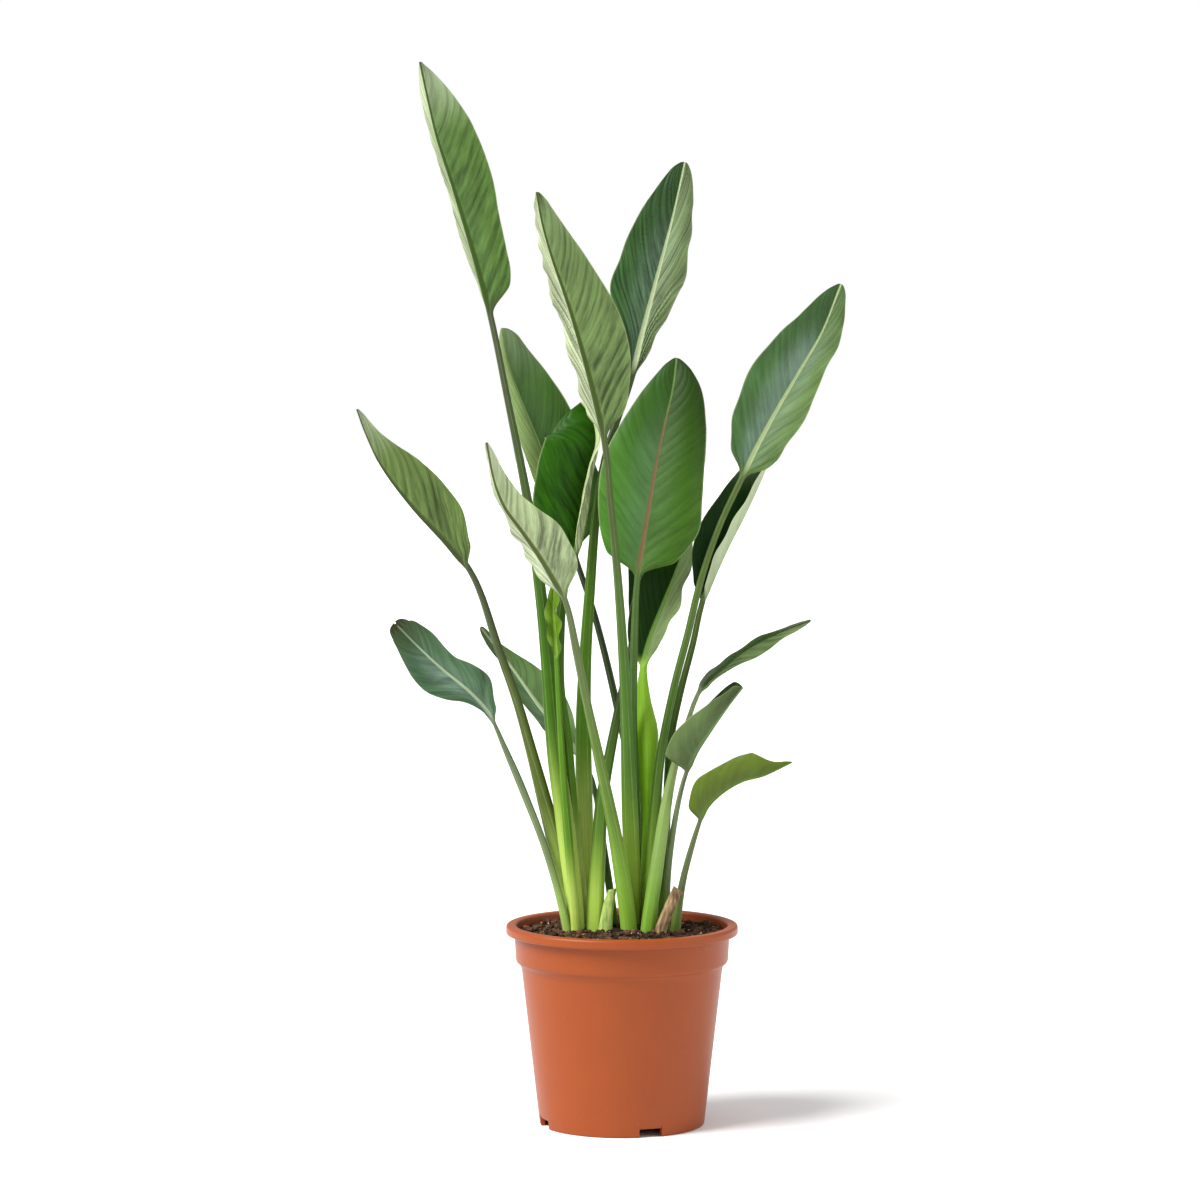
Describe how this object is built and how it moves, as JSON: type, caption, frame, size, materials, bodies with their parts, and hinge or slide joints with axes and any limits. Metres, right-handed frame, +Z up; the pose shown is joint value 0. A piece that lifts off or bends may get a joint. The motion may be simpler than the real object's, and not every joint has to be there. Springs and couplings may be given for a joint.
{
  "type": "potted bird of paradise plant",
  "caption": "Upright foliage house plant with long-stalked paddle leaves growing in two fans from soil, in a tapered terracotta-coloured plastic nursery pot with a rolled lip.",
  "frame": {"origin": "on the floor, under the middle of the box round the whole plant and pot", "axes": "+Z up along the plant's height, -Y towards the front, +X to the right as seen from the front"},
  "size_m": [0.4996, 0.317, 1.0828],
  "materials": {
    "pot_plastic": "satin moulded terracotta colour",
    "soil": "rough dark potting compost",
    "leaf": "satin green leaf, paler below",
    "cut_stalk": "moist pale green cut stalk",
    "dry_sheath": "dry matt brown"
  },
  "bodies": {
    "root": {"pot": "pot_plastic", "soil": "soil", "leaf_tall_left": "leaf", "leaf_left_high": "leaf", "leaf_left_low": "leaf", "leaf_inner": "leaf", "leaf_back_top": "leaf", "leaf_back_left": "leaf", "leaf_back_dark": "leaf", "leaf_back_low": "leaf", "leaf_front_top": "leaf", "leaf_front_light": "leaf", "leaf_front_broad": "leaf", "leaf_behind_broad": "leaf", "leaf_right_high": "leaf", "leaf_right_fold": "leaf", "leaf_small_top": "leaf", "leaf_small_mid": "leaf", "leaf_small_low": "leaf", "leaf_young": "leaf", "cut_stalk": "cut_stalk", "dry_sheath": "dry_sheath"}
  },
  "joints": []
}
